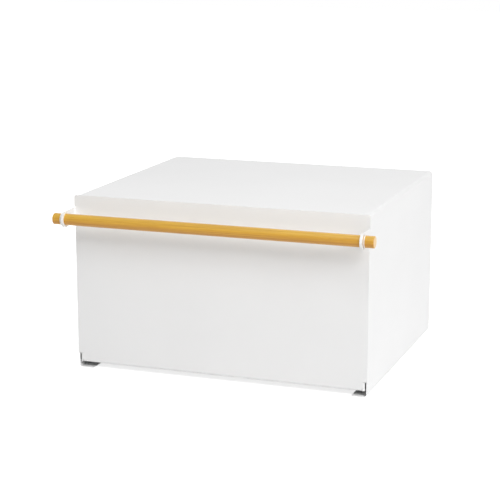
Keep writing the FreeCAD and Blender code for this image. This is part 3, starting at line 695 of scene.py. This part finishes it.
# %% [markdown]
# ## The door
#
# The door is the piece that takes the most skill: everything on it is cut and folded from one
# sheet, 1.2 mm thick. An ear is folded forward at each side to hold the bar, between two narrow
# slits that let the fold end. Near the counter the corners are cut away beside the shell's sides,
# and a small lug is folded back at each cut to take a hinge pin. A return along the lower edge
# keeps it straight.
#
# A sheet like this is drawn the way it is made. First the flat blank: a plane, sliced where
# the outline changes, with the waste deleted. Then the folds: edges are extruded and the corners
# between them rounded. The thickness comes after that, then the round ends of the ears and lugs,
# and last the holes.

# %% Door blank
DOOR_SHEET = 1.2 * MM
DOOR_FRONT = -149.75 * MM    # place of the front face
door_half_sheet = DOOR_SHEET / 2
BAND_HALF, BODY_HALF = 201 * MM, 200 * MM     # half width at the top band and below the ears
EAR_HIGH, EAR_WIDE = 10.5 * MM, 21 * MM
SLIT, SLIT_REACH = 0.6 * MM, 3.2 * MM
LUG_FACE, LUG_TALL = 196.5 * MM, 11 * MM
RETURN_HALF, RETURN_DEEP = 192.8 * MM, 9 * MM

door_low, door_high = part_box("door_panel")
washer_low, washer_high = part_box("pivot_washer_left")
pivot = Vector((0, (washer_low.y + washer_high.y) / 2, (washer_low.z + washer_high.z) / 2))
skin_y = DOOR_FRONT + door_half_sheet       # middle of the sheet in the front wall
bar_axis = Vector((0, BAR_Y, BAR_Z))
ear_x, lug_x = BAND_HALF - door_half_sheet, LUG_FACE - door_half_sheet
bottom_z = door_low.z
return_z = bottom_z + door_half_sheet
ear_top, ear_bottom = BAR_Z + EAR_WIDE / 2, BAR_Z - EAR_WIDE / 2
lug_top = bottom_z + LUG_TALL

door = add_plate("folded_door", (0, skin_y, (bottom_z + door_high.z) / 2), math.pi / 2,
                 (2 * BAND_HALF, door_high.z - bottom_z))
edit(door)
CUTS_ACROSS = (ear_x, BODY_HALF, BAND_HALF - SLIT_REACH, lug_x, RETURN_HALF + SLIT, RETURN_HALF)
CUTS_UP = (ear_top + SLIT, ear_top, ear_bottom, ear_bottom - SLIT, lug_top + SLIT, lug_top,
           bottom_z + SLIT_REACH, return_z)
for place in [Vector((side * x, 0, 0)) for x in CUTS_ACROSS for side in (-1, 1)]:
    bpy.ops.mesh.select_all(action="SELECT")
    bpy.ops.mesh.bisect(plane_co=place, plane_no=RIGHT)
for height in CUTS_UP:
    bpy.ops.mesh.select_all(action="SELECT")
    bpy.ops.mesh.bisect(plane_co=(0, 0, height), plane_no=UP)
WASTE = (  # (from, to) across and (from, to) up
    (BODY_HALF, 1, 0, ear_bottom - SLIT),                                # beside the shell
    (ear_x, 1, ear_bottom - SLIT, ear_top + SLIT),                       # where the ear folds
    (BAND_HALF - SLIT_REACH, 1, ear_top, ear_top + SLIT),                # slit above the ear
    (BAND_HALF - SLIT_REACH, 1, ear_bottom - SLIT, ear_bottom),          # slit below the ear
    (lug_x, 1, 0, lug_top + SLIT),                                       # lower corner
    (RETURN_HALF + SLIT, 1, lug_top, lug_top + SLIT),                    # slit above the lug
    (RETURN_HALF, RETURN_HALF + SLIT, 0, bottom_z + SLIT_REACH),         # slit beside the return
    (-1, RETURN_HALF, 0, return_z),                                      # where the return folds
)
waste_faces = pick("FACE", lambda middle, normal: any(
    x0 < abs(middle.x) < x1 and z0 < middle.z < z1 for x0, x1, z0, z1 in WASTE))
bpy.ops.mesh.delete(type="FACE")
bpy.ops.mesh.select_all(action="SELECT")
bpy.ops.mesh.dissolve_limited(angle_limit=math.radians(1))
print("blank: waste", waste_faces, "faces")

# %% Door folds
DOOR_FOLD = 1.6 * MM         # radius at the middle of the sheet

ears = fold_out(lambda middle, along: near(abs(middle.x), ear_x) and near(middle.z, BAR_Z)
                and abs(along.z) > 0.9, FRONT * (skin_y - door_low.y))
lugs = fold_out(lambda middle, along: near(abs(middle.x), lug_x) and bottom_z < middle.z < lug_top
                and abs(along.z) > 0.9, BACK * (door_high.y - skin_y))
returns = fold_out(lambda middle, along: near(middle.z, return_z) and abs(middle.x) < RETURN_HALF
                   and abs(along.x) > 0.9, BACK * (RETURN_DEEP - door_half_sheet))
folds = pick("EDGE", lambda middle, along: near(middle.y, skin_y) and (
    near(abs(middle.x), ear_x) and near(middle.z, BAR_Z) and abs(along.z) > 0.9
    or near(abs(middle.x), lug_x) and bottom_z < middle.z < lug_top and abs(along.z) > 0.9
    or near(middle.z, return_z) and abs(middle.x) < RETURN_HALF and abs(along.x) > 0.9))
bpy.ops.mesh.bevel(offset=DOOR_FOLD, segments=5, clamp_overlap=False)
bpy.ops.object.mode_set(mode="OBJECT")
modify(door, "SOLIDIFY", thickness=DOOR_SHEET, offset=0, use_even_offset=True)
print("ears, lugs, returns, folds:", ears, lugs, returns, folds)

# %% Door ends and holes
BAND_CORNER = 2.6 * MM
EAR_BORE, LUG_BORE = 16.72 * MM, 4.12 * MM
DOOR_ROUND = 0.3 * MM        # a cut edge of the thicker sheet under its coat
ALMOST = 0.01 * MM           # keeps two round corners that meet from running into each other

edit(door)
pick("EDGE", lambda middle, along: abs(along.x) > 0.9 and near(middle.y, door_low.y)
     and abs(middle.x) > ear_x - DOOR_SHEET)
bpy.ops.mesh.bevel(offset=EAR_WIDE / 2 - ALMOST, segments=14)
pick("EDGE", lambda middle, along: abs(along.x) > 0.9 and near(middle.y, door_high.y)
     and abs(middle.x) > lug_x - DOOR_SHEET)
bpy.ops.mesh.bevel(offset=LUG_TALL / 2 - ALMOST, segments=10)
pick("EDGE", lambda middle, along: abs(along.y) > 0.9 and near(middle.z, door_high.z))
bpy.ops.mesh.bevel(offset=BAND_CORNER, segments=6)
bpy.ops.object.mode_set(mode="OBJECT")
for side in (-1, 1):
    drill(door, Vector((side * ear_x, BAR_Y, BAR_Z)), RIGHT, EAR_BORE, DOOR_DRILL)
    drill(door, Vector((side * lug_x, pivot.y, pivot.z)), RIGHT, LUG_BORE, DOOR_DRILL)
soften(door, DOOR_ROUND, steps=3)
hand_over(door, "door_panel", "door", powder_coat)

# %% [markdown]
# ## Turned and moulded pieces
#
# The bar, the bushes, their rings, the pins, the washers, the catch cups, the magnets and the
# feet are all round. Each is made as on a lathe: one circle is extruded from station to station
# along its axis, and resized to the radius of the next one. A solid piece is capped at both
# ends; a piece with a bore comes back to its first station and is bridged shut. Then the sharp
# rims are bevelled, because nothing that is moulded or turned has a knife edge.

# %% The lathe
def turned(name, centre, axis, stations, rim, sides=64, bored=False, steps=3):
    """A round piece. Stations are (place along the axis, radius), in metres from the centre."""
    bpy.ops.object.select_all(action="DESELECT")
    along, radius = stations[0]
    bpy.ops.mesh.primitive_circle_add(vertices=sides, radius=radius, location=centre + axis * along,
                                      rotation=UP.rotation_difference(axis).to_euler())
    piece = settle(name)
    edit(piece)
    bpy.ops.mesh.select_mode(type="EDGE")
    bpy.ops.mesh.select_all(action="SELECT")
    for (along, radius), (next_along, next_radius) in zip(stations, stations[1:]):
        bpy.ops.mesh.extrude_edges_move(
            TRANSFORM_OT_translate={"value": axis * (next_along - along)})
        growth = next_radius / radius
        bpy.ops.transform.resize(value=[1 if abs(way) > 0.5 else growth for way in axis],
                                 center_override=centre + axis * next_along)
    bpy.ops.mesh.select_all(action="DESELECT")
    bpy.ops.mesh.select_non_manifold()
    if bored:
        bpy.ops.mesh.bridge_edge_loops()
    else:
        bpy.ops.mesh.fill_holes(sides=0)
    bpy.ops.mesh.select_all(action="SELECT")
    bpy.ops.mesh.normals_make_consistent(inside=False)
    bpy.ops.object.mode_set(mode="OBJECT")
    soften(piece, rim, steps)
    return piece


# %% [markdown]
# ## The bar and what holds it
#
# The dowel passes through a nylon bush in each ear. The bush has a flange against the inside of
# the ear and a thin sleeve through it, which ends just outside. A ring on the dowel keeps it from
# sliding; a line of wood shows in the narrow gap between the sleeve and the ring. The ends of
# the dowel are sanded to a soft edge.

# %% Handle bar
BAR_EDGE = 1.0 * MM
bar_radius = (bar_high.z - bar_low.z) / 2
bar = turned("wooden_bar", bar_axis, RIGHT, [(bar_low.x, bar_radius), (bar_high.x, bar_radius)],
             BAR_EDGE, sides=96, steps=5)
hand_over(bar, "handle_bar", "door", lacquered_wood)

# %% Bushes and rings
BUSH_IN, EAR_IN, SLEEVE_OUT = 198.0 * MM, 199.8 * MM, 201.3 * MM
RING_IN, RING_OUT = 202.4 * MM, 203.5 * MM
BORE, SLEEVE, FLANGE, RING = (diameter / 2 * MM for diameter in (15.06, 16.66, 21.0, 16.8))
BUSH_RIM, RING_RIM = 0.2 * MM, 0.25 * MM

for side, word in ((LEFT, "left"), (RIGHT, "right")):
    bush = turned("nylon_bush_" + word, bar_axis, side,
                  [(BUSH_IN, BORE), (BUSH_IN, FLANGE), (EAR_IN, FLANGE), (EAR_IN, SLEEVE),
                   (SLEEVE_OUT, SLEEVE), (SLEEVE_OUT, BORE)], BUSH_RIM, bored=True)
    hand_over(bush, "handle_bush_" + word, "door", nylon)
    ring = turned("nylon_ring_" + word, bar_axis, side,
                  [(RING_IN, BORE), (RING_IN, RING), (RING_OUT, RING), (RING_OUT, BORE)],
                  RING_RIM, bored=True)
    hand_over(ring, "bush_ring_" + word, "door", nylon)

# %% [markdown]
# ## The hinge
#
# Each hinge pin is riveted into the side of the shell, passes a black washer that keeps the lug
# off the side, goes through the lug and ends in a domed head. The door turns round it. From the
# front the washer is the dark line in the cut-away corner of the door: its black is painted
# shade for the deep shadow in that slot.

# %% Pins and washers
PIN, WASHER_BORE = 2.0 * MM, 2.06 * MM       # radii
PIN_HEAD = ((0, 2.3), (0.25, 3.1), (0.7, 3.8), (1.4, 3.8))     # (depth, radius) of the dome, in mm
PIN_RIM, WASHER_RIM = 0.15 * MM, 0.12 * MM
FILLED = 0.05 * MM           # the riveted end is filled over and coated with the shell

for side, word in ((LEFT, "left"), (RIGHT, "right")):
    pin_low, pin_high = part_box("pivot_pin_" + word)
    inner, outer = min(abs(pin_low.x), abs(pin_high.x)), max(abs(pin_low.x), abs(pin_high.x))
    head = [(inner + depth * MM, radius * MM) for depth, radius in PIN_HEAD]
    pin = turned("hinge_pin_" + word, pivot, side,
                 head + [(head[-1][0], PIN), (outer - FILLED, PIN)], PIN_RIM)
    hand_over(pin, "pivot_pin_" + word, "box", plated_steel)
    low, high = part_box("pivot_washer_" + word)
    inner, outer = min(abs(low.x), abs(high.x)), max(abs(low.x), abs(high.x))
    washer = turned("hinge_washer_" + word, pivot, side,
                    [(inner, WASHER_BORE), (inner, (high.z - low.z) / 2),
                     (outer, (high.z - low.z) / 2), (outer, WASHER_BORE)], WASHER_RIM, bored=True)
    hand_over(washer, "pivot_washer_" + word, "box", black_nylon)

# %% [markdown]
# ## The magnet catches
#
# A catch is a moulded cup with a flat rim, pushed through the web of the rail from the front, and
# a disc magnet set a little below its rim, so that the door rests on the cup and not on
# the brittle magnet.

# %% Catches
MAGNET, POCKET, CUP_RIM = 5.5 * MM, 5.55 * MM, 9 * MM          # radii
RIM_THICK = 1.2 * MM
CUP_EDGE, MAGNET_EDGE = 0.3 * MM, 0.35 * MM

for word, place in catch_places.items():
    cup_low, cup_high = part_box("catch_cup_" + word)
    magnet_low, magnet_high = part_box("catch_magnet_" + word)
    axis_point = Vector((place.x, 0, place.z))
    rim_y = cup_low.y + RIM_THICK
    cup = turned("moulded_cup_" + word, axis_point, BACK,
                 [(magnet_high.y, POCKET), (cup_low.y, POCKET), (cup_low.y, CUP_RIM),
                  (rim_y, CUP_RIM), (rim_y, CUP_BODY / 2), (cup_high.y, CUP_BODY / 2)], CUP_EDGE)
    hand_over(cup, "catch_cup_" + word, "box", nylon)
    magnet = turned("disc_magnet_" + word, axis_point, BACK,
                    [(magnet_low.y, MAGNET), (magnet_high.y, MAGNET)], MAGNET_EDGE)
    hand_over(magnet, "catch_magnet_" + word, "box", nickel)

# %% [markdown]
# ## The feet
#
# Four stick-on discs of silicone keep the flanges a millimetre off the counter.

# %% Feet
PAD_EDGE = 0.3 * MM

for row in ("front", "rear"):
    for word in ("left", "right"):
        node = f"foot_pad_{row}_{word}"
        low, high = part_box(node)
        place = middle_of(node)
        pad = turned(f"silicone_foot_{row}_{word}", Vector((place.x, place.y, 0)), UP,
                     [(low.z, (high.x - low.x) / 2), (high.z, (high.x - low.x) / 2)], PAD_EDGE)
        hand_over(pad, node, "box", silicone)
